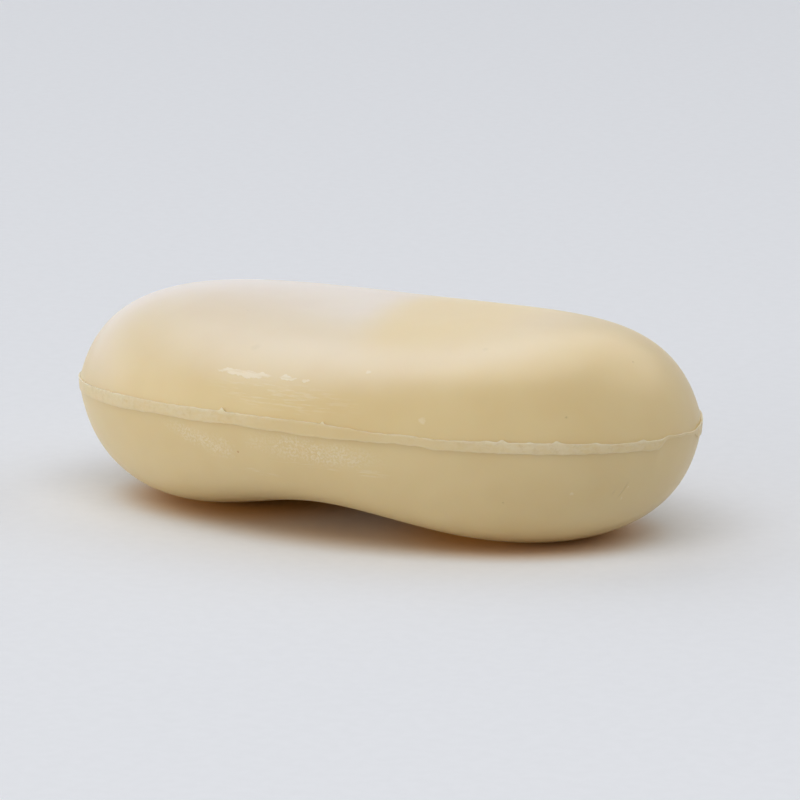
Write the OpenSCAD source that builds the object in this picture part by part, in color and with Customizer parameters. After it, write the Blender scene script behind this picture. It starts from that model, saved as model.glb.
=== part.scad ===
// Pressed bar of toilet soap: an oval bar with a level crown, a deep belly that arches up at
// mid length, and the parting land left round its middle where the two dies met.
// The bar is long in X and wide in Y, and it rests on Z = 0 with its centre over the origin.

/* [Bar] */
// Length of the bar from end to end, inside the parting land
bar_l = 95; // [80:1:110]
// Width of the bar from side to side, inside the parting land
bar_w = 57.5; // [45:0.5:70]
// Fullness of the plan: 2 is a plain oval, more is squarer
plan_power = 2.07; // [2:0.01:2.6]

/* [Upper half] */
// Height of the crown above the parting land at mid length
crown_h = 11.1; // [7:0.1:18]
// Height that the crown gains towards the ends, where the land falls away from the level top
crown_end_gain = 8.5; // [0:0.1:12]
// Fullness of the crown's section: 2 is round, more is flatter on top with a tighter shoulder
crown_power = 2.75; // [2:0.05:4]
// Angle round the crown's section at which it leaves the land: 0 leaves straight up
crown_start = 12.5; // [4:0.5:30]

/* [Lower half] */
// Depth of the belly below the parting land, before the arch is taken out
belly_h = 19.7; // [14:0.1:26]
// Depth that the belly loses towards the ends
belly_end_loss = 1.6; // [0:0.1:4]
// Fullness of the belly's section: 2 is round, more is flatter underneath
belly_power = 3.3; // [2:0.05:4]
// Angle round the belly's section at which it leaves the land: 0 leaves straight down
belly_start = 11.5; // [4:0.5:30]
// Height of the arch pressed up into the belly at mid length
arch_h = 6.4; // [2:0.1:9]
// Distance from mid length at which the arch has fallen to about a third of its height
arch_reach = 22.5; // [16:0.5:28]
// Depth pressed flat on each of the two lobes that the bar rests on
foot_flat = 0.2; // [0.1:0.05:0.6]

/* [Parting land] */
// Height of the land, the strip where the dies met and the flash was trimmed off
land_h = 1.6; // [1:0.1:3]
// How far the land stands out from the bar
land_proud = 0.3; // [0.1:0.05:0.8]
// How far the land falls from mid length to the ends
land_drop = 1.8; // [0:0.1:4]
// Height of the ragged crest left along the land's upper edge
crest_h = 0.45; // [0:0.05:0.8]
// Typical distance between two peaks of the crest
crest_pitch = 11; // [8:0.5:20]

/* [Hidden] */

soap_colour = "#d8c69c";

// Fineness of the surface: stations round the bar and rings from the land to each pole
stations = 144;
rings = 16;

// The plan is a superellipse, measured by its angle
function fuller(v, power) = sign(v) * pow(abs(v), 2 / power);
function plan(angle) = [
    bar_l / 2 * fuller(cos(angle), plan_power),
    bar_w / 2 * fuller(sin(angle), plan_power)
];

// Share of a half's full height at the share r of the way out to the land: 1 at the pole, 0 at the land
function quarter(q, power) = pow(1 - pow(q, power), 1 / power);
function lift(r, power, start) =
    let (rim = pow(cos(start), 2 / power), base = quarter(rim, power))
    (quarter(rim * r, power) - base) / (1 - base);

// How near a place along the bar is to its ends: 0 at mid length, 1 at an end
function end_share(x) = pow(2 * x / bar_l, 2);

// Heights above or below the middle of the land at mid length
function land_z(x) = -land_drop * end_share(x);
function crown_z(x, r) = land_z(x) + land_h / 2
    + (crown_h + crown_end_gain * end_share(x)) * lift(r, crown_power, crown_start);
function arch_z(x) = arch_h * exp(-pow(x / arch_reach, 2));
function belly_z(x, r) = land_z(x) - land_h / 2
    - (belly_h - belly_end_loss * end_share(x) - arch_z(x)) * lift(r, belly_power, belly_start);

// The lobes are the lowest points of the belly, and their flats lie on Z = 0
lobe_steps = 200;
lobe_depth = -min([for (i = [0:lobe_steps]) belly_z(bar_l / 2 * i / lobe_steps, i / lobe_steps)]);
land_mid = lobe_depth - foot_flat;

// Peaks of the crest: three waves whose counts round the bar share no factor, so they never line up
girth = PI * (bar_l + bar_w) / 2;
peaks = round(girth / crest_pitch);
function crest(angle) =
    let (wave = sin(peaks * angle) + sin((peaks + 4) * angle + 70) + sin((2 * peaks - 3) * angle + 200))
    crest_h * pow(max(0, wave) / 3, 2);

// Rings of points, from the pole outwards
function spread(i) = sin(90 * i / rings);
function crown_ring(i) = [for (s = [0:stations - 1])
    let (p = spread(i) * plan(360 * s / stations))
    [p.x, p.y, land_mid + crown_z(p.x, spread(i))]
];
function belly_ring(i) = [for (s = [0:stations - 1])
    let (p = spread(i) * plan(360 * s / stations))
    [p.x, p.y, land_mid + belly_z(p.x, spread(i))]
];
// An edge of the land, side being 1 for the upper edge and -1 for the lower
function land_ring(side) = [for (s = [0:stations - 1])
    let (angle = 360 * s / stations, p = plan(angle), out = 1 + land_proud / norm(p))
    [p.x * out, p.y * out,
     land_mid + land_z(p.x) + side * land_h / 2 + (side > 0 ? crest(angle) : 0)]
];

// Two faces for each step round the strip between ring k and ring k + 1, which lies above it
function strip(k) = [for (s = [0:stations - 1])
    let (t = (s + 1) % stations, low = k * stations, high = low + stations)
    each [[low + s, high + s, high + t], [low + s, high + t, low + t]]
];

module soap_bar() {
    levels = [
        for (i = [1:rings]) belly_ring(i),
        land_ring(-1),
        land_ring(1),
        for (i = [rings:-1:1]) crown_ring(i)
    ];
    points = [for (level = levels) each level];
    bottom = len(points);
    top = bottom + 1;
    last = (len(levels) - 1) * stations;
    poles = [[0, 0, land_mid + belly_z(0, 0)], [0, 0, land_mid + crown_z(0, 0)]];
    faces = [
        for (s = [0:stations - 1]) [bottom, s, (s + 1) % stations],
        for (k = [0:len(levels) - 2]) each strip(k),
        for (s = [0:stations - 1]) [top, last + (s + 1) % stations, last + s]
    ];
    color(soap_colour)
        difference() {
            polyhedron(points = concat(points, poles), faces = faces, convexity = 4);
            // The resting flats: everything below Z = 0 is pressed away
            translate([-bar_l / 2, -bar_w / 2, -2 * foot_flat])
                cube([bar_l, bar_w, 2 * foot_flat]);
        }
}

soap_bar();
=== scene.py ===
"""The looks of one pressed bar of toilet soap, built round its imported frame.

The bar is one piece. Its surface is worked out here from the same formulas as its solid, much
finer, with the trimmed flash, the burrs and the scuffs that the solid leaves out. Lengths are
in metres unless a name or a comment says millimetres, and angles go round the bar from its
right end, anticlockwise from above.
"""
import math
import random

import bpy
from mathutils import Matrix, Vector, noise


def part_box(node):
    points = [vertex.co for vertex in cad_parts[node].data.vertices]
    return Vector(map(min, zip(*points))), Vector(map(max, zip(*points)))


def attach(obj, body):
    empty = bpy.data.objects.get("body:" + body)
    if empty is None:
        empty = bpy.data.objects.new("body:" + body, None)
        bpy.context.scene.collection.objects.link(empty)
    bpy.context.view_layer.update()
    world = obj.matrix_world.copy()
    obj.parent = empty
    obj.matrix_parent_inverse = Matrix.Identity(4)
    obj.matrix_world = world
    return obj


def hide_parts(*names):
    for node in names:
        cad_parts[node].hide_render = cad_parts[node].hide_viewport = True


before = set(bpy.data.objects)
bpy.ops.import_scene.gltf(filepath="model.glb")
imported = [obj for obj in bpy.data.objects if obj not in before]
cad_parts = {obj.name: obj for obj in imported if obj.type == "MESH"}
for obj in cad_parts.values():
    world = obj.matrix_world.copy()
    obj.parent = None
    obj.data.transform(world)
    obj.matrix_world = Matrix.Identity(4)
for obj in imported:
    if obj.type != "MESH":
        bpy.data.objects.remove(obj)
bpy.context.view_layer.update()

bl_info = {
    "name": "Pressed soap bar",
    "version": (1, 0, 0),
    "blender": (4, 5, 0),
    "location": "3D View > Sidebar > Soap",
    "description": "Models a pressed bar of toilet soap and lights it on a pale sweep",
    "category": "Object",
}

MM = 0.001
NODE = "soap_bar"
LOW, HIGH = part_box(NODE)

# How far the solid's land stands out of its body
PROUD = 0.3 * MM

# Fineness of the bar's skin, and of the search for its lowest point
BODY_STATIONS = 400
LAND_STATIONS_EACH = 4
BODY_RINGS = 60
SEARCH_STEPS = 200

# Powers of the share of the way out to the land: the first lets only the last ring follow the
# land's edges, and the second ends the slow hollows short of the land
RIM_POWER = 100
CALM_POWER = 12

# Edges that turn more than this many degrees stay sharp
SHARP_TURN = 50

# What the skin tells its material at each point: feathered edge, broken face, and painted shade in the
# creased corner under the land
LOOKS = ("fringe", "cut", "crease")

# The land round the bar, read off the photo where it shows and plain elsewhere: angle in degrees,
# then in mm the lower edge, the upper edge and how far it stands out, then from 0 to 1 how broken
# up its face is and how dark the painted shade under it is. Near the right end the trimming cut
# slipped, so the land narrows there to a thin lip.
LAND = (
    (20, -0.80, 0.80, 0.22, 0.6, 0.3),
    (60, -0.72, 0.86, 0.24, 0.5, 0.3),
    (100, -0.84, 0.74, 0.22, 0.6, 0.4),
    (140, -0.76, 0.84, 0.25, 0.4, 0.3),
    (185, -0.80, 0.80, 0.22, 0.5, 0.3),
    (215, -0.86, 0.94, 0.24, 0.6, 0.3),
    (234, -0.95, 0.95, 0.26, 0.8, 0.5),
    (246, -0.78, 0.88, 0.24, 0.6, 0.6),
    (254, -0.87, 0.97, 0.25, 0.8, 0.6),
    (262, -0.66, 1.00, 0.25, 0.6, 0.6),
    (270, -0.84, 1.00, 0.22, 0.15, 0.7),
    (277, -0.95, 1.05, 0.22, 0.05, 0.8),
    (283, -0.83, 0.80, 0.24, 0.05, 1.0),
    (288, -0.74, 0.58, 0.22, 0.15, 1.0),
    (294, -0.68, 0.66, 0.20, 0.35, 0.9),
    (300, -0.97, 0.47, 0.22, 0.4, 0.8),
    (307, -0.88, 0.60, 0.25, 0.6, 0.6),
    (315, -0.81, 0.75, 0.27, 1.0, 0.4),
    (324, -0.72, 0.84, 0.27, 1.0, 0.3),
    (331, -0.57, 0.80, 0.26, 0.8, 0.3),
    (337, -0.50, 0.75, 0.25, 0.7, 0.2),
    (343, -0.50, 0.80, 0.25, 0.7, 0.2),
    (349.5, -0.62, 0.70, 0.24, 0.5, 0.4),
    (353.5, 0.60, 1.00, 0.14, 0.3, 0.3),
    (360, 0.42, 0.80, 0.14, 0.4, 0.2),
    (367, 0.00, 0.45, 0.16, 0.4, 0.2),
    (371, -0.90, 0.70, 0.28, 0.8, 0.2),
    (377, -1.00, 0.85, 0.28, 0.8, 0.3),
)

# Burrs that stand up from the land's upper edge: angle in degrees, height and width in mm
BURRS = (
    (260.4, 0.50, 0.50),
    (278.9, 0.45, 0.25),
    (308.6, 0.20, 0.90),
    (311.6, 0.42, 0.80),
    (317.0, 0.16, 0.80),
    (322.6, 0.38, 0.65),
    (331.6, 0.26, 0.90),
    (344.5, 0.24, 0.90),
    (12.0, 0.30, 0.60),
)

# More burrs along the side that the photo hides: how many, and the ranges of the same measures
HIDDEN_BURRS = 9
HIDDEN_RANGES = ((25, 205), (0.12, 0.38), (0.3, 0.9))
BURR_SEED = 7

# How much sooner a burr has fallen away than its full width
BURR_NARROWING = 1.6

# The land's section: the height of its lower lip, how far that lip may wander up, how far out it
# stands as a share of the whole, the levels of the face above it, and how far down the painted shade
# under it reaches
LIP_H = 0.09 * MM
LIP_RISE = 0.08 * MM
LIP_SHARE = 0.65
FACE_LEVELS = (0.2, 0.4, 0.6, 0.8)
CREASE_SHADE_REACH = 0.7 * MM

# Marks on the soap, in mm from the bar's origin: place, half sizes, turns in degrees, and how much
# the mark widens from its middle to its right end, as a share. First the white scrape on the crown
# with its two smaller pieces.
SCRAPES = (
    ((-6.8, -25.6, 23.42), (4.4, 1.3, 0.38), (0, 0, 0), 0.15),
    ((0.35, -25.7, 23.50), (1.25, 1.2, 0.30), (0, 0, 0), -0.3),
    ((3.35, -25.7, 23.50), (0.60, 1.0, 0.19), (0, 0, 0), 0.2),
)

# Single whitish flecks
FLECKS = (
    ((11.8, -23.2, 25.05), (0.26, 0.8, 0.20), (0, 0, 0), 0),
    ((21.5, -25.3, 19.82), (0.48, 0.8, 0.34), (0, 20, 0), 0),
    ((39.0, -15.0, 9.9), (0.20, 0.5, 0.16), (0, 0, 0), 0),
    ((43.95, -8.7, 10.2), (0.5, 0.14, 0.18), (0, 0, 0), 0),
    ((42.9, -9.0, 8.7), (0.5, 0.16, 0.16), (0, 0, 0), 0),
)

# The slanting scratches low on the right
GROOVES = (
    ((43.56, -9.15, 9.88), (0.8, 0.12, 1.25), (-10.5, 33, 0), 0),
    ((43.2, -10.3, 9.3), (0.8, 0.09, 0.7), (-10.5, 33, 0), 0),
)

# Frosted patches, where lather dried under the land
SPECKLED = (
    ((-10.3, -27.4, 13.4), (3.4, 4.0, 1.3), (0, 8, 0), 0),
    ((-15.0, -27.2, 14.4), (4.0, 4.0, 1.0), (0, 13, 0), 0),
    ((5.5, -28.0, 14.4), (8.5, 4.0, 1.6), (0, 3, 0), 0),
)

# Fine drag marks
STREAKED = (
    ((0.5, -27.3, 21.2), (9.0, 3.0, 1.5), (0, 2, 0), 0),
    ((5.0, -27.3, 12.1), (4.6, 3.0, 0.40), (0, 3, 0), 0),
    ((-3.8, -26.1, 10.1), (2.4, 3.0, 0.45), (0, 3, 0), 0),
    ((13.6, -26.5, 12.0), (2.4, 3.0, 0.45), (0, 3, 0), 0),
)

# Pits, one reddish speck and faint dark spots: place and radius in mm
PITS = (
    ((-15.4, -11.4, 29.1), 0.11),
    ((38.5, -15.9, 20.5), 0.12),
    ((41.2, -2.6, 26.2), 0.14),
    ((31.1, -19.9, 8.7), 0.10),
)
RUST_SPECKS = (((-6.5, -27.6, 12.85), 0.15),)
SPOTS = (
    ((-7.6, -21.4, 26.3), 0.60),
    ((24.8, -14.1, 28.1), 0.40),
)


def linear(colour):
    """An sRGB hex colour as linear red, green, blue and alpha."""
    values = [int(colour[i : i + 2], 16) / 255 for i in (1, 3, 5)]
    return [v / 12.92 if v <= 0.04045 else ((v + 0.055) / 1.055) ** 2.4 for v in values] + [1.0]


def length(name, description, default):
    """A property that holds a length in metres."""
    return bpy.props.FloatProperty(
        name=name, description=description, default=default, unit="LENGTH", precision=5
    )


def number(name, description, default):
    """A property that holds a plain number."""
    return bpy.props.FloatProperty(name=name, description=description, default=default, precision=4)


def angle(name, description, degrees):
    """A property that holds an angle, given in degrees."""
    return bpy.props.FloatProperty(
        name=name, description=description, default=math.radians(degrees), unit="ROTATION"
    )


def colour(name, description, default):
    """A property that holds a colour, given in sRGB hex."""
    return bpy.props.FloatVectorProperty(
        name=name, description=description, default=linear(default)[:3],
        subtype="COLOR", size=3, min=0, max=1,
    )


class SoapSizes(bpy.types.PropertyGroup):
    """Sizes of the bar."""

    bar_l: length("Length", "From end to end, inside the parting land", HIGH.x - LOW.x - 2 * PROUD)
    bar_w: length("Width", "From side to side, inside the parting land", HIGH.y - LOW.y - 2 * PROUD)
    plan_power: number("Plan fullness", "2 is a plain oval, more is squarer", 2.07)
    crown_h: length("Crown height", "Above the land at mid length", 11.1 * MM)
    crown_end_gain: length("Crown end gain", "Height that the crown gains towards the ends", 8.5 * MM)
    crown_power: number("Crown fullness", "2 is round, more is flatter on top", 2.75)
    crown_start: angle("Crown start", "Angle at which the crown leaves the land", 12.5)
    belly_h: length("Belly depth", "Below the land, before the arch is taken out", 19.7 * MM)
    belly_end_loss: length("Belly end loss", "Depth that the belly loses towards the ends", 1.6 * MM)
    belly_power: number("Belly fullness", "2 is round, more is flatter underneath", 3.3)
    belly_start: angle("Belly start", "Angle at which the belly leaves the land", 11.5)
    arch_h: length("Arch height", "How far the arch is pressed up at mid length", 6.4 * MM)
    arch_reach: length("Arch reach", "Where the arch has fallen to a third of its height", 22.5 * MM)
    foot_flat: length("Foot flat", "Depth pressed flat on each lobe", 0.2 * MM)
    land_h: length("Land height", "Nominal height of the parting land", 1.6 * MM)
    land_drop: length("Land drop", "How far the land falls from mid length to the ends", 1.8 * MM)
    waviness: length("Waviness", "Depth of the slow hollows that pressing and handling leave", 0.05 * MM)


class SoapColours(bpy.types.PropertyGroup):
    """Colours of the soap and of the stage."""

    soap: colour("Soap", "Body of the soap", "#d7c190")
    warm: colour("Warm soap", "Slow warmer clouds in the body", "#d4bc89")
    # Painted shade of a reflection: right of a slanting line on the crown the soap is painted yellower,
    # where the bluish reflection stops
    painted_sheenless: colour("Sheenless soap", "Right of mid length on the crown, rubbed bare", "#ddc384")
    land: colour("Cut soap", "Face of the trimmed land", "#dbcba6")
    bloom: colour("Bloom", "Scraped or feathered soap, whitish", "#ebe2cd")
    # Painted shade: this brown darkens the creased corner under the land in place of its shadow, and it
    # also paints real stains on the land's face
    crease: colour("Crease", "Line under the land and stains on it, where painted_shade settles", "#a6803f")
    # A darker colour laid into the pits, the grooves and the faint spots
    dark_marks: colour("Pits", "Pits and grooves", "#8f7549")
    rust: colour("Rust speck", "One reddish speck on the front", "#b06a3c")
    paper: colour("Paper", "Floor", "#f0f2f7")
    wall: colour("Wall", "What shows beyond the paper, and in reflections", "#dcdfe4")
    # Painted light: the paper is painted warm under the bar and under its feet, in place of light that
    # comes through the soap
    painted_glow: colour("Glow", "Paper under the bar, warmed by light that comes through the soap", "#f1bb70")


class SoapStage(bpy.types.PropertyGroup):
    """Camera and lights."""

    azimuth: angle("Azimuth", "Camera, round from the front towards the right end", 31.8)
    elevation: angle("Elevation", "Camera, above the floor", 11.513)
    distance: length("Distance", "Camera, from the point it aims at", 0.8)
    aim_h: length("Aim height", "Height of the middle of the view", 15 * MM)
    aim_right: length("Aim right", "Camera's aim, to its right", 2.062 * MM)
    aim_up: length("Aim up", "Camera's aim, upwards in the picture", 0.991 * MM)
    lens: number("Lens", "Focal length in mm on a 36 mm sensor", 257.2)
    sky: number("Sky", "Strength of the soft light from all round", 0.25)


class BarForm:
    """The bar's surface as formulas, in metres."""

    def __init__(self, sizes):
        self.s = sizes
        self.land_mid = 0.0
        # The lowest points lie along the bar's long axis, and what is pressed flat is off them
        shares = [i / SEARCH_STEPS for i in range(SEARCH_STEPS + 1)]
        lowest = min(self.belly_z(sizes.bar_l / 2 * share, share) for share in shares)
        self.land_mid = -lowest - sizes.foot_flat

    def plan(self, turn):
        """A point of the plan's outline."""
        c, s, power = math.cos(turn), math.sin(turn), 2 / self.s.plan_power
        x = self.s.bar_l / 2 * math.copysign(abs(c) ** power, c)
        y = self.s.bar_w / 2 * math.copysign(abs(s) ** power, s)
        return x, y

    def outward(self, turn):
        """The level direction that points out of the plan's outline."""
        x, y = self.plan(turn)
        n, a, b = self.s.plan_power, self.s.bar_l / 2, self.s.bar_w / 2
        u = math.copysign(abs(x / a) ** (n - 1) / a, x)
        v = math.copysign(abs(y / b) ** (n - 1) / b, y)
        size = math.hypot(u, v)
        return u / size, v / size

    def end_share(self, x):
        """How near x is to an end: 0 at mid length, 1 at either end."""
        return (2 * x / self.s.bar_l) ** 2

    def land_z(self, x):
        """Height of the land's middle line."""
        return self.land_mid - self.s.land_drop * self.end_share(x)

    @staticmethod
    def lift(r, power, start):
        """Share of a half's full height at the share r of the way out to the land."""
        def quarter(q):
            """Height of a superellipse's quarter section, 1 in the middle and 0 at its rim."""
            return max(0.0, 1 - q**power) ** (1 / power)

        rim = math.cos(start) ** (2 / power)
        base = quarter(rim)
        return (quarter(rim * r) - base) / (1 - base)

    def crown_z(self, x, r):
        """Height of the crown at x, the share r of the way out to the land."""
        s = self.s
        height = s.crown_h + s.crown_end_gain * self.end_share(x)
        return self.land_z(x) + s.land_h / 2 + height * self.lift(r, s.crown_power, s.crown_start)

    def belly_z(self, x, r):
        """Height of the belly at x, the share r of the way out to the land."""
        s = self.s
        arch = s.arch_h * math.exp(-((x / s.arch_reach) ** 2))
        depth = s.belly_h - s.belly_end_loss * self.end_share(x) - arch
        return self.land_z(x) - s.land_h / 2 - depth * self.lift(r, s.belly_power, s.belly_start)


def land_at(degrees):
    """The land at an angle: lower edge, upper edge and proudness in metres, brokenness and painted
    shade.
    """
    first = LAND[0]
    rows = LAND + ((first[0] + 360, *first[1:]),)
    turn = (degrees - first[0]) % 360 + first[0]
    for a, b in zip(rows, rows[1:]):
        if a[0] <= turn <= b[0]:
            share = (turn - a[0]) / (b[0] - a[0])
            smooth = share * share * (3 - 2 * share)
            low, high, proud, broken, crease = (p + (q - p) * smooth for p, q in zip(a[1:], b[1:]))
            return low * MM, high * MM, proud * MM, broken, crease
    raise ValueError(f"no row of the land covers {degrees} degrees")


def all_burrs():
    """The burrs read off the photo, and a few more along the side that it hides."""
    draw = random.Random(BURR_SEED)
    hidden = [[draw.uniform(*ends) for ends in HIDDEN_RANGES] for _ in range(HIDDEN_BURRS)]
    return [(math.radians(a), h * MM, w * MM) for a, h, w in (*BURRS, *hidden)]


def rough(x, y, z, pitch, seed=0.0):
    """Smooth noise from -1 to 1 whose bumps are about pitch apart; each seed gives another."""
    return noise.noise(Vector((x / pitch + seed, y / pitch - seed, z / pitch + 3 * seed)))


def land_profile(form, turn, burrs):
    """The land's section at one station, from the belly's rim up to the crown's.

    Each row is how far out it lies, its height above the land's middle, how feathered it is, how
    broken up and how much painted shade it takes.
    """
    low, high, proud, broken, crease = land_at(math.degrees(turn))
    x, y = form.plan(turn)
    teeth = 0.5 + 0.5 * rough(x, y, 0, 7 * MM, 2)
    ragged = 0.13 * MM * rough(x, y, 0, 1.3 * MM, 5) + 0.07 * MM * teeth * rough(x, y, 0, 0.5 * MM, 9)
    lip = 0.14 * MM * rough(x, y, 0, 1.9 * MM, 12) + 0.06 * MM * rough(x, y, 0, 0.6 * MM, 14)
    top = high + 0.10 * MM * teeth + ragged
    for place, height, width in burrs:
        bx, by = form.plan(place)
        gap = math.hypot(x - bx, y - by) / width
        top += height * math.exp(-((gap * BURR_NARROWING) ** 2))
    lean = 0.05 * MM * (0.4 + teeth)
    bottom = low + min(lip, LIP_RISE)
    rows = [
        (0.0, low + 0.01 * MM, 0.0, 0.0, crease),
        (0.45 * proud, bottom + 0.01 * MM, 0.15, 0.2 * broken, 0.6 * crease),
        (LIP_SHARE * proud, bottom + LIP_H, 0.20, 0.4 * broken, 0.0),
    ]
    for k in FACE_LEVELS:
        z = bottom + LIP_H + k * (high - bottom - 0.15 * MM)
        swell = (1 - LIP_SHARE) * proud * math.sin(math.pi / 2 * k)
        dent = 0.03 * MM * rough(x, y, z, 0.8 * MM, 20)
        rows.append((LIP_SHARE * proud + dent + swell, z, 0.0, (0.45 + 0.5 * k) * broken, 0.0))
    rows += [
        (proud + 0.3 * lean, high - 0.04 * MM, 0.4, broken, 0.0),
        (proud + lean, top - 0.03 * MM, 1.0, broken, 0.0),
        (proud + lean - 0.03 * MM, top, 1.0, broken, 0.0),
        (proud + lean - 0.10 * MM, top - 0.03 * MM, 0.9, broken, 0.0),
        (0.02 * MM, high + 0.01 * MM, 0.2, 0.5 * broken, 0.0),
    ]
    return rows


def body_ring(form, upper, r):
    """One ring of the crown or the belly, the share r of the way out, and how much painted shade it
    takes under the land.
    """
    points, creases = [], []
    for k in range(BODY_STATIONS):
        turn = 2 * math.pi * k / BODY_STATIONS
        x, y = (r * v for v in form.plan(turn))
        low, high, _, _, crease = land_at(math.degrees(turn))
        if upper:
            z = form.crown_z(x, r) + (high - form.s.land_h / 2) * r**RIM_POWER
        else:
            z = form.belly_z(x, r) + (low + form.s.land_h / 2) * r**RIM_POWER
            # Painted shade: darkest right under the land, fading within a short reach below it
            depth = form.land_z(form.plan(turn)[0]) + low - z
            crease *= math.exp(-((depth / CREASE_SHADE_REACH) ** 2))
        creases.append(0.0 if upper else crease)
        hollow = rough(x, y, z, 14 * MM, 30) + 0.5 * rough(x, y, z, 6 * MM, 33)
        sink = form.s.waviness * (0.5 + 0.33 * hollow) * (1 - r**CALM_POWER)
        z += -sink if upper else sink
        points.append((x, y, max(z, 0.0)))
    return points, creases


def soap_mesh(form):
    """The bar's whole skin as one closed mesh, with what each point tells the material."""
    verts, looks = [], {name: [] for name in LOOKS}

    def put(points, **shares):
        """Adds points with their looks, and returns the first one's index."""
        start = len(verts)
        verts.extend(points)
        for name, values in looks.items():
            values.extend(shares.get(name) or [0.0] * len(points))
        return start

    def put_ring(upper, r):
        """Adds one ring of the crown or the belly."""
        points, creases = body_ring(form, upper, r)
        return put(points, crease=creases)

    spread = [math.sin(math.pi / 2 * (i + 1) / BODY_RINGS) for i in range(BODY_RINGS)]
    bottom = put([(0.0, 0.0, form.belly_z(0, 0))])
    belly = [put_ring(False, r) for r in spread]
    crown = [put_ring(True, r) for r in spread]
    top = put([(0.0, 0.0, form.crown_z(0, 0) - form.s.waviness / 2)])

    burrs = all_burrs()
    stations = BODY_STATIONS * LAND_STATIONS_EACH
    columns = []
    for k in range(stations):
        turn = 2 * math.pi * k / stations
        x, y = form.plan(turn)
        nx, ny = form.outward(turn)
        mid = form.land_z(x)
        rows = land_profile(form, turn, burrs)
        columns.append([((x + nx * out, y + ny * out, mid + z), *shares) for out, z, *shares in rows])
    land = []
    for points, feathers, brokens, creases in (zip(*level) for level in zip(*columns)):
        land.append(put(points, fringe=feathers, cut=brokens, crease=creases))

    faces = []

    def strip(a, b, count):
        """Quads from ring a to ring b, which comes after it on the way up round the outside."""
        for k in range(count):
            n = (k + 1) % count
            faces.append((a + k, a + n, b + n, b + k))

    def stitch(coarse, fine, fine_above):
        """Joins a ring of the body to the finer ring at the land's edge."""
        for k in range(BODY_STATIONS):
            c0, c1 = coarse + k, coarse + (k + 1) % BODY_STATIONS
            f = [fine + (k * LAND_STATIONS_EACH + j) % stations for j in range(LAND_STATIONS_EACH + 1)]
            half = LAND_STATIONS_EACH // 2
            for j in range(LAND_STATIONS_EACH):
                corner = c0 if j < half else c1
                face = (corner, f[j + 1], f[j])
                faces.append(face if fine_above else face[::-1])
            face = (c0, c1, f[half])
            faces.append(face if fine_above else face[::-1])

    for k in range(BODY_STATIONS):
        n = (k + 1) % BODY_STATIONS
        faces.append((bottom, belly[0] + n, belly[0] + k))
        faces.append((top, crown[0] + k, crown[0] + n))
    for a, b in zip(belly, belly[1:]):
        strip(a, b, BODY_STATIONS)
    for a, b in zip(crown, crown[1:]):
        strip(b, a, BODY_STATIONS)
    for a, b in zip(land, land[1:]):
        strip(a, b, stations)
    stitch(belly[-1], land[0], True)
    stitch(crown[-1], land[-1], False)
    return verts, faces, looks


def add(tree, kind, inputs=None, output=0, **settings):
    """Adds a shader node with its own settings, and returns one of its outputs.

    Its inputs take plain values, or sockets to link.
    """
    item = tree.nodes.new("ShaderNode" + kind)
    for name, value in settings.items():
        setattr(item, name, value)
    for name, value in (inputs or {}).items():
        if isinstance(value, bpy.types.NodeSocket):
            tree.links.new(value, item.inputs[name])
        else:
            item.inputs[name].default_value = value
    return item.outputs[output] if item.outputs else None


def new_material(name):
    """An empty material and its node tree."""
    material = bpy.data.materials.new(name)
    material.use_nodes = True
    material.node_tree.nodes.clear()
    return material, material.node_tree


def place_in_mm(tree):
    """Where a point lies in its object, in millimetres from the object's origin."""
    place = add(tree, "TexCoord", output="Object")
    return add(tree, "VectorMath", {0: place, 1: (1 / MM,) * 3}, operation="MULTIPLY")


def layered(tree, base, layers):
    """Lays colours over a base colour, each as far as its own mask says."""
    base = (*base, 1)
    # A colour mix takes its share in socket 0 and its two colours in 6 and 7, and gives socket 2
    for mask, tint in layers:
        base = add(tree, "Mix", {0: mask, 6: base, 7: (*tint, 1)}, 2, data_type="RGBA")
    return base


def grain(tree, place, pitch, detail, ends=None, shares=(0.0, 1.0), roughness=0.55, stretch=None):
    """Noise whose bumps are about pitch millimetres apart; place is in millimetres.

    Where ends are given, its values fade from the first share at one end to the second at the other.
    """
    if stretch:
        place = add(tree, "Mapping", {"Vector": place, "Scale": stretch})
    values = {"Vector": place, "Scale": 1 / pitch, "Detail": detail, "Roughness": roughness}
    bumps = add(tree, "TexNoise", values)
    if not ends:
        return bumps
    values = {"From Min": ends[0], "From Max": ends[1], "To Min": shares[0], "To Max": shares[1]}
    return add(tree, "MapRange", {"Value": bumps, **values}, interpolation_type="SMOOTHSTEP")


def patch(tree, place, centre, half, turns=(0, 0, 0), widening=0, soft=0.4):
    """A mask that is 1 inside a tilted ball round centre, and fades at its edge.

    Where it widens from its middle to its right end, it is an egg.
    """
    turns = [math.radians(t) for t in turns]
    ends = {"Vector": place, "Location": centre, "Rotation": turns, "Scale": half}
    local = add(tree, "Mapping", ends, vector_type="TEXTURE")
    if widening:
        along, deep, across = add(tree, "SeparateXYZ", {"Vector": local}).node.outputs
        width = add(tree, "Math", {0: along, 1: widening, 2: 1.0}, operation="MULTIPLY_ADD")
        across = add(tree, "Math", {0: across, 1: width}, operation="DIVIDE")
        local = add(tree, "CombineXYZ", {"X": along, "Y": deep, "Z": across})
    far = add(tree, "VectorMath", {0: local}, "Value", operation="LENGTH")
    ends = {"Value": far, "From Min": 1 + soft, "From Max": 1 - soft}
    return add(tree, "MapRange", ends, interpolation_type="SMOOTHSTEP")


def together(tree, masks):
    """The largest of several masks."""
    result = masks[0]
    for mask in masks[1:]:
        result = add(tree, "Math", {0: result, 1: mask}, operation="MAXIMUM")
    return result


def strongest(tree, masks):
    """The largest of several masks, each taken times its strength."""
    return together(
        tree, [add(tree, "Math", {0: mask, 1: share}, operation="MULTIPLY") for mask, share in masks]
    )


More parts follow.
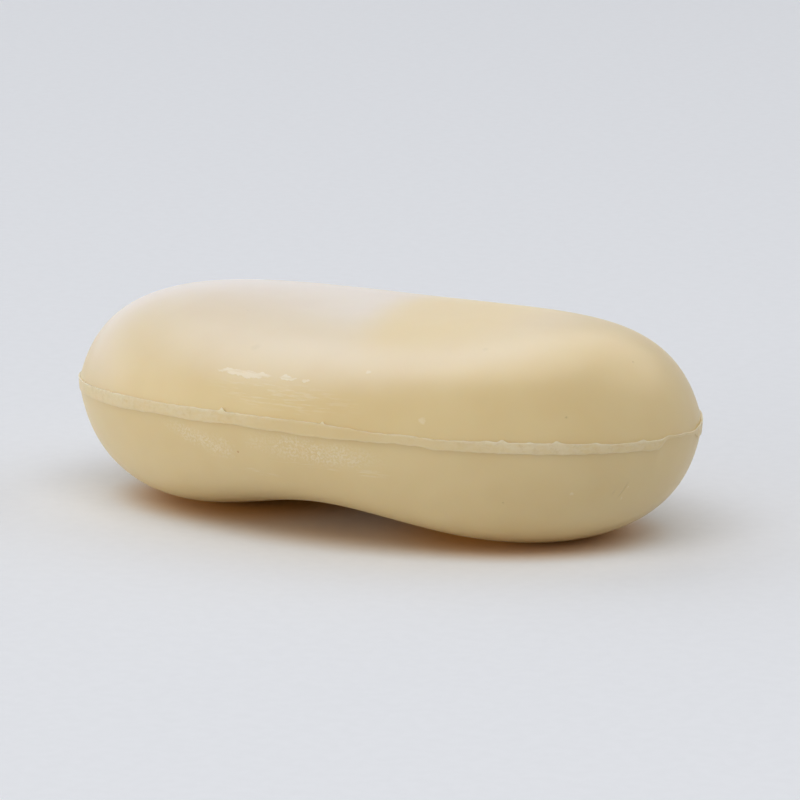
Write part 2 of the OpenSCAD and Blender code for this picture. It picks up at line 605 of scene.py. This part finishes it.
# Roughness of the pressed skin, and how much rougher it is where it is broken, and where the crown's
# sheen stops
SATIN = 0.35
BROKEN_ROUGHER = 0.3
SHEENLESS_ROUGHER = 0.2

# What makes the marks' edges ragged, in mm: the distance between bumps, and the push each way
RAGGED_PITCH = 1.2
RAGGED_PUSH = (1.6, 1.6, 1.0)

# The part of the crown where the bluish reflection stops, in mm: its middle and half sizes, then
# between which places at mid width its left border fades in, and how much that border slants. There
# the skin is rougher, and its colour is painted yellower as painted shade of that reflection.
SHEENLESS_PATCH = ((10, -2, 29), (15, 17, 4))
SHEENLESS_BORDER = (-3.0, 6.0)
SHEENLESS_SLANT = 0.3


def pressed_toilet_soap(colours):
    """Milled toilet soap, pressed between polished dies.

    It is a waxy, slightly see-through solid: light goes a few millimetres in and comes out
    warmer, so its edges shine from within and shade never goes grey, and the pressed skin has a low
    satin gloss. Where a blade trimmed the flash or rubbing wore the bar, the skin is broken up:
    it is paler, and it has no gloss.
    """
    material, tree = new_material("pressed_toilet_soap")
    place = place_in_mm(tree)
    values = {"Vector": place, "Scale": 1 / RAGGED_PITCH, "Detail": 3.0}
    push = add(tree, "TexNoise", values, "Color")
    push = add(tree, "VectorMath", {0: push, 1: (-0.5, -0.5, -0.5)}, operation="ADD")
    push = add(tree, "VectorMath", {0: push, 1: RAGGED_PUSH}, operation="MULTIPLY")
    ragged_place = add(tree, "VectorMath", {0: place, 1: push}, operation="ADD")

    def marks(rows, soft, where=ragged_place):
        """Where one kind of mark is, with ragged edges unless it is given the plain place."""
        return together(tree, [patch(tree, where, *row, soft) for row in rows])

    def dots(rows, soft):
        """Where one kind of small round mark is."""
        return together(tree, [patch(tree, place, c, (r, r, r), soft=soft) for c, r in rows])

    fringe, cut, crease = (add(tree, "Attribute", output="Fac", attribute_name=n) for n in LOOKS)
    clouds = grain(tree, place, 11.0, 2.0, (0.3, 0.75))

    # Painted shade of a reflection: on the crown, from a slanting line at mid length rightwards, the
    # soap is painted yellower where the bluish reflection stops, and it is rougher there
    along, deep = add(tree, "SeparateXYZ", {"Vector": place}).node.outputs[:2]
    line = add(tree, "Math", {0: deep, 1: SHEENLESS_SLANT, 2: along}, operation="MULTIPLY_ADD")
    ends = {"Value": line, "From Min": SHEENLESS_BORDER[0], "From Max": SHEENLESS_BORDER[1]}
    right_of_line = add(tree, "MapRange", ends, interpolation_type="SMOOTHSTEP")
    painted_sheenless = patch(tree, place, *SHEENLESS_PATCH, soft=0.5)
    painted_sheenless = add(tree, "Math", {0: right_of_line, 1: painted_sheenless}, operation="MULTIPLY")
    painted_sheenless_tint = add(tree, "Math", {0: painted_sheenless, 1: 0.45}, operation="MULTIPLY")

    # The land's cut face is pale in grains and patches, with brownish stains; the same brown is painted
    # as shade into the creased corner under the land
    grains = grain(tree, place, 0.55, 4.0, (0.35, 0.65), roughness=0.6, stretch=(0.6, 0.6, 1.2))
    patches = grain(tree, place, 4.0, 1.0, (0.42, 0.60), (0.45, 0.80))
    pale = add(tree, "Math", {0: grains, 1: 0.7, 2: patches}, operation="MULTIPLY_ADD")
    pale = add(tree, "Math", {0: cut, 1: pale}, operation="MULTIPLY")
    stains = grain(tree, place, 1.1, 4.0, (0.50, 0.68), (0.0, 0.22), roughness=0.6)
    # Real stains on the cut face, and painted shade in the creased corner under the land
    stains_and_painted_shade = strongest(tree, ((cut, stains), (crease, 0.20)))

    # Each kind of whitish mark is broken up by a grain of its own
    long_streaks, short_streaks = (0.22, 0.6, 2.4), (0.22, 0.5, 2.4)
    streaks = grain(tree, place, 1.1, 4.0, (0.34, 0.50), (0.45, 1.0), 0.6, long_streaks)
    scraped = add(tree, "Math", {0: marks(SCRAPES, 0.15), 1: streaks}, operation="MULTIPLY")
    flecked = marks(FLECKS, 0.5)
    specks = grain(tree, place, 0.34, 4.0, (0.42, 0.62), roughness=0.7)
    crowds = grain(tree, place, 2.5, 2.0, (0.34, 0.60), (0.45, 1.0))
    specks = add(tree, "Math", {0: specks, 1: crowds}, operation="MULTIPLY")
    speckled = add(tree, "Math", {0: marks(SPECKLED, 0.6), 1: specks}, operation="MULTIPLY")
    lines = grain(tree, place, 0.7, 3.0, (0.46, 0.64), roughness=0.6, stretch=short_streaks)
    streaked = add(tree, "Math", {0: marks(STREAKED, 0.6), 1: lines}, operation="MULTIPLY")
    tufts = grain(tree, place, 1.6, 3.0, (0.36, 0.60), (0.35, 1.0))
    feathered = add(tree, "Math", {0: fringe, 1: tufts}, operation="MULTIPLY")
    whitish = (scraped, 0.52), (flecked, 0.30), (speckled, 0.42), (streaked, 0.23), (feathered, 0.50)
    bloom = strongest(tree, whitish)

    pits, grooves = dots(PITS, 0.5), marks(GROOVES, 0.5, place)
    dark = strongest(tree, ((pits, 0.26), (dots(SPOTS, 0.6), 0.08), (grooves, 0.12)))
    rust = add(tree, "Math", {0: dots(RUST_SPECKS, 0.5), 1: 0.6}, operation="MULTIPLY")

    layers = (
        (clouds, colours.warm),
        # Painted yellower where the crown's bluish reflection stops
        (painted_sheenless_tint, colours.painted_sheenless),
        (pale, colours.land),
        # Stains on the land, and painted shade under it
        (stains_and_painted_shade, colours.crease),
        (bloom, colours.bloom),
        (dark, colours.dark_marks),
        (rust, colours.rust),
    )
    base = layered(tree, colours.soap, layers)

    dull = add(tree, "Math", {0: cut, 1: 0.7}, operation="MULTIPLY")
    dull = together(tree, (dull, bloom))
    roughness = SATIN
    for mask, rougher in ((dull, BROKEN_ROUGHER), (painted_sheenless, SHEENLESS_ROUGHER)):
        roughness = add(tree, "Math", {0: mask, 1: rougher, 2: roughness}, operation="MULTIPLY_ADD")

    # Relief in mm
    cut_marks = grain(tree, place, 0.35, 3.0, roughness=0.6, stretch=(0.5, 0.5, 1.6))
    cut_marks = add(tree, "Math", {0: cut_marks, 1: cut}, operation="MULTIPLY")
    height = add(tree, "Math", {0: cut_marks, 1: 0.04}, operation="MULTIPLY")
    for mask, rise in ((bloom, 0.03), (pits, -0.06), (grooves, -0.04)):
        height = add(tree, "Math", {0: mask, 1: rise, 2: height}, operation="MULTIPLY_ADD")
    normal = add(tree, "Bump", {"Strength": 1.0, "Distance": MM, "Height": height})

    shader = add(
        tree,
        "BsdfPrincipled",
        {
            "Base Color": base,
            "Roughness": roughness,
            "IOR": 1.46,
            "Normal": normal,
            "Subsurface Weight": 0.35,
            "Subsurface Radius": (1.0, 0.62, 0.32),
            "Subsurface Scale": 2.0 * MM,
        },
    )
    add(tree, "OutputMaterial", {"Surface": shader})
    return material


# Painted light on the paper, in place of light that comes through the soap, in mm: half sizes of the
# oval under the whole bar, half sizes of the pool under each foot and how far the feet are from mid
# length, then the pools' share of it
PAINTED_GLOW_OVAL = (34.7, 21.1, 9)
PAINTED_GLOW_POOL = (15.3, 15.3, 9)
FOOT_X = 22
POOL_SHARE = 0.55

# The paper's fibre in mm. Real fibre is far finer, and this is as coarse as it needs to show.
FIBRE_PITCH = 2.0


def paper_sweep(colours):
    """Matt white paper, laid flat: it takes a soft shadow and has no gloss.

    Soap lets light through on to the paper, most of all at its two feet. Cycles leaves that light
    out, so the paper itself turns warm in an oval under the bar and in a pool under each foot.
    """
    material, tree = new_material("paper_sweep")
    place = place_in_mm(tree)
    tone = grain(tree, place, FIBRE_PITCH, 4.0, (0.3, 0.7), (0.985, 1.0), roughness=0.5)
    oval = patch(tree, place, (0, 0, 0), PAINTED_GLOW_OVAL, soft=0.31)
    feet = [patch(tree, place, (x, 0, 0), PAINTED_GLOW_POOL, soft=0.44) for x in (-FOOT_X, FOOT_X)]
    # Painted light: the paper is painted warm in the oval, and more in the pools under the feet
    warm = add(tree, "Math", {0: oval, 1: 1 - POOL_SHARE}, operation="MULTIPLY")
    pools = {0: together(tree, feet), 1: POOL_SHARE, 2: warm}
    warm = add(tree, "Math", pools, operation="MULTIPLY_ADD")
    base = layered(tree, colours.paper, ((warm, colours.painted_glow),))
    base = add(tree, "Mix", {0: tone, 6: (0, 0, 0, 1), 7: base}, 2, data_type="RGBA")
    shader = add(tree, "BsdfDiffuse", {"Color": base, "Roughness": 0.0})
    add(tree, "OutputMaterial", {"Surface": shader})
    return material


class SOAP_OT_bar(bpy.types.Operator):
    """Model the bar of soap in the place of its solid"""

    bl_idname = "soap.bar"
    bl_label = "Soap bar"

    def execute(self, context):
        form = BarForm(context.scene.soap_sizes)
        verts, faces, looks = soap_mesh(form)
        mesh = bpy.data.meshes.new("pressed_bar")
        mesh.from_pydata(verts, [], faces)
        if mesh.validate():
            raise RuntimeError("the bar's mesh had faces that don't hold")
        for name, values in looks.items():
            mesh.attributes.new(name, "FLOAT", "POINT").data.foreach_set("value", values)
        mesh.shade_smooth()
        mesh.set_sharp_from_angle(angle=math.radians(SHARP_TURN))
        mesh.materials.append(pressed_toilet_soap(context.scene.soap_colours))
        bar = bpy.data.objects.new("pressed_bar", mesh)
        context.scene.collection.objects.link(bar)
        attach(bar, "root")
        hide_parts(NODE)
        return {"FINISHED"}


# The soft boxes, hung round the bar and turned to it: name, degrees to the right of straight beyond
# the bar as the camera sees it, degrees up, width and height in metres, brightness beside white
# paper, and colour. LIGHTS light bodies and stay out of the gloss. SHEENS show in it alone, and hang
# nearer, so that no card lies in a lamp.
LIGHTS = (
    ("back_left_window", -34, 37, 2.40, 1.60, 0.81, "#fafcff"),
    ("front_left_fill", -112, 8, 2.00, 0.44, 4.15, "#ffffff"),
    ("front_high_box", -174, 62, 1.90, 1.25, 1.78, "#ffffff"),
    ("right_fill", 86, 32, 1.90, 1.36, 0.74, "#ffffff"),
)
SHEENS = (
    ("low_back_sheen", -30, 14, 1.15, 0.38, 1.45, "#a4c2ff"),
    ("window_sheen", -38, 46, 1.20, 0.50, 1.20, "#acc8ff"),
    ("left_sheen", -85, 16, 0.80, 0.45, 0.70, "#ffffff"),
    ("high_left_sheen", -50, 60, 0.95, 0.50, 3.00, "#c0d4ff"),
    ("overhead_sheen", -8, 82, 0.54, 0.54, 2.80, "#ffffff"),
    ("high_right_sheen", 40, 48, 1.10, 0.66, 1.80, "#fff8ec"),
)
LIGHT_DISTANCE = 1.7
SHEEN_DISTANCE = 0.9

# How far the floor reaches each way and how near the camera sees, in metres, and its sensor in mm
FLOOR_REACH = 3.0
NEAREST_SEEN = 0.01
SENSOR_WIDTH = 36


def lay_floor(scene, colours):
    """One level sheet of paper, far wider than the view."""
    corners = [(FLOOR_REACH * i, FLOOR_REACH * j, 0) for i, j in ((-1, -1), (1, -1), (1, 1), (-1, 1))]
    mesh = bpy.data.meshes.new("floor")
    mesh.from_pydata(corners, [], [(0, 1, 2, 3)])
    mesh.materials.append(paper_sweep(colours))
    floor = bpy.data.objects.new("floor", mesh)
    scene.collection.objects.link(floor)


def light_all_round(scene, colours, strength):
    """Soft light from every side; the camera, the gloss and glass see a plain wall in its place."""
    world = bpy.data.worlds.new("studio")
    world.use_nodes = True
    tree = world.node_tree
    tree.nodes.clear()
    light = add(tree, "Background", {"Color": (1, 1, 1, 1), "Strength": strength})
    wall = add(tree, "Background", {"Color": (*colours.wall, 1), "Strength": 1.0})
    rays = add(tree, "LightPath").node.outputs
    kinds = ("Is Camera Ray", "Is Glossy Ray", "Is Transmission Ray")
    shown = together(tree, [rays[kind] for kind in kinds])
    both = add(tree, "MixShader", {0: shown, 1: light, 2: wall})
    add(tree, "OutputWorld", {"Surface": both})
    scene.world = world


def ways(stage):
    """The camera's right, the level way beyond the bar and the way back to the camera."""
    ce, se = math.cos(stage.elevation), math.sin(stage.elevation)
    ca, sa = math.cos(stage.azimuth), math.sin(stage.azimuth)
    return Vector((ca, sa, 0)), Vector((-sa, ca, 0)), Vector((sa * ce, -ca * ce, se))


def set_camera(scene, stage):
    """The camera, with a long lens, at the photo's angle."""
    right, _, back = ways(stage)
    up = back.cross(right)
    aim = Vector((0, 0, stage.aim_h)) + right * stage.aim_right + up * stage.aim_up
    data = bpy.data.cameras.new("camera")
    data.lens = stage.lens
    data.sensor_width = SENSOR_WIDTH
    data.clip_start = NEAREST_SEEN
    camera = bpy.data.objects.new("camera", data)
    camera.location = aim + back * stage.distance
    camera.rotation_mode = "QUATERNION"
    camera.rotation_quaternion = (-back).to_track_quat("-Z", "Y")
    scene.collection.objects.link(camera)
    scene.camera = camera


def hang_lamps(scene, stage):
    """The soft boxes, placed as the camera sees them."""
    right, beyond, _ = ways(stage)
    middle = Vector((0, 0, stage.aim_h))
    for rows, far, glossy in ((LIGHTS, LIGHT_DISTANCE, False), (SHEENS, SHEEN_DISTANCE, True)):
        for name, aside, above, width, height, level, tint in rows:
            lamp = bpy.data.lights.new(name, "AREA")
            lamp.shape = "RECTANGLE"
            lamp.size, lamp.size_y = width, height
            lamp.color = linear(tint)[:3]
            lamp.energy = math.pi * width * height * level
            item = bpy.data.objects.new(name, lamp)
            a, e = math.radians(aside), math.radians(above)
            level_way = right * math.sin(a) + beyond * math.cos(a)
            item.location = middle + far * (level_way * math.cos(e) + Vector((0, 0, math.sin(e))))
            item.rotation_mode = "QUATERNION"
            item.rotation_quaternion = (middle - item.location).to_track_quat("-Z", "Y")
            item.visible_diffuse = not glossy
            item.visible_glossy = glossy
            scene.collection.objects.link(item)


class SOAP_OT_stage(bpy.types.Operator):
    """Lay the pale floor, hang the soft lamps and set the camera"""

    bl_idname = "soap.stage"
    bl_label = "Stage"

    def execute(self, context):
        scene, stage, colours = context.scene, context.scene.soap_stage, context.scene.soap_colours
        scene.view_settings.view_transform = "Standard"
        lay_floor(scene, colours)
        light_all_round(scene, colours, stage.sky)
        set_camera(scene, stage)
        hang_lamps(scene, stage)
        return {"FINISHED"}


class SOAP_PT_panel(bpy.types.Panel):
    """Lists the steps and the sizes in the sidebar"""

    bl_idname = "SOAP_PT_panel"
    bl_label = "Soap bar"
    bl_space_type = "VIEW_3D"
    bl_region_type = "UI"
    bl_category = "Soap"

    def draw(self, context):
        layout = self.layout
        layout.operator(SOAP_OT_bar.bl_idname)
        layout.operator(SOAP_OT_stage.bl_idname)
        for group in (context.scene.soap_sizes, context.scene.soap_colours, context.scene.soap_stage):
            box = layout.box()
            for name in group.__annotations__:
                box.prop(group, name)


CLASSES = (SoapSizes, SoapColours, SoapStage, SOAP_OT_bar, SOAP_OT_stage, SOAP_PT_panel)
GROUPS = {"soap_sizes": SoapSizes, "soap_colours": SoapColours, "soap_stage": SoapStage}


def register():
    for item in CLASSES:
        bpy.utils.register_class(item)
    for name, group in GROUPS.items():
        setattr(bpy.types.Scene, name, bpy.props.PointerProperty(type=group))


def unregister():
    for name in GROUPS:
        delattr(bpy.types.Scene, name)
    for item in reversed(CLASSES):
        bpy.utils.unregister_class(item)


def main():
    """Runs each step in order."""
    register()
    bpy.ops.soap.stage()
    bpy.ops.soap.bar()
    bpy.context.view_layer.update()


if __name__ == "__main__":
    main()
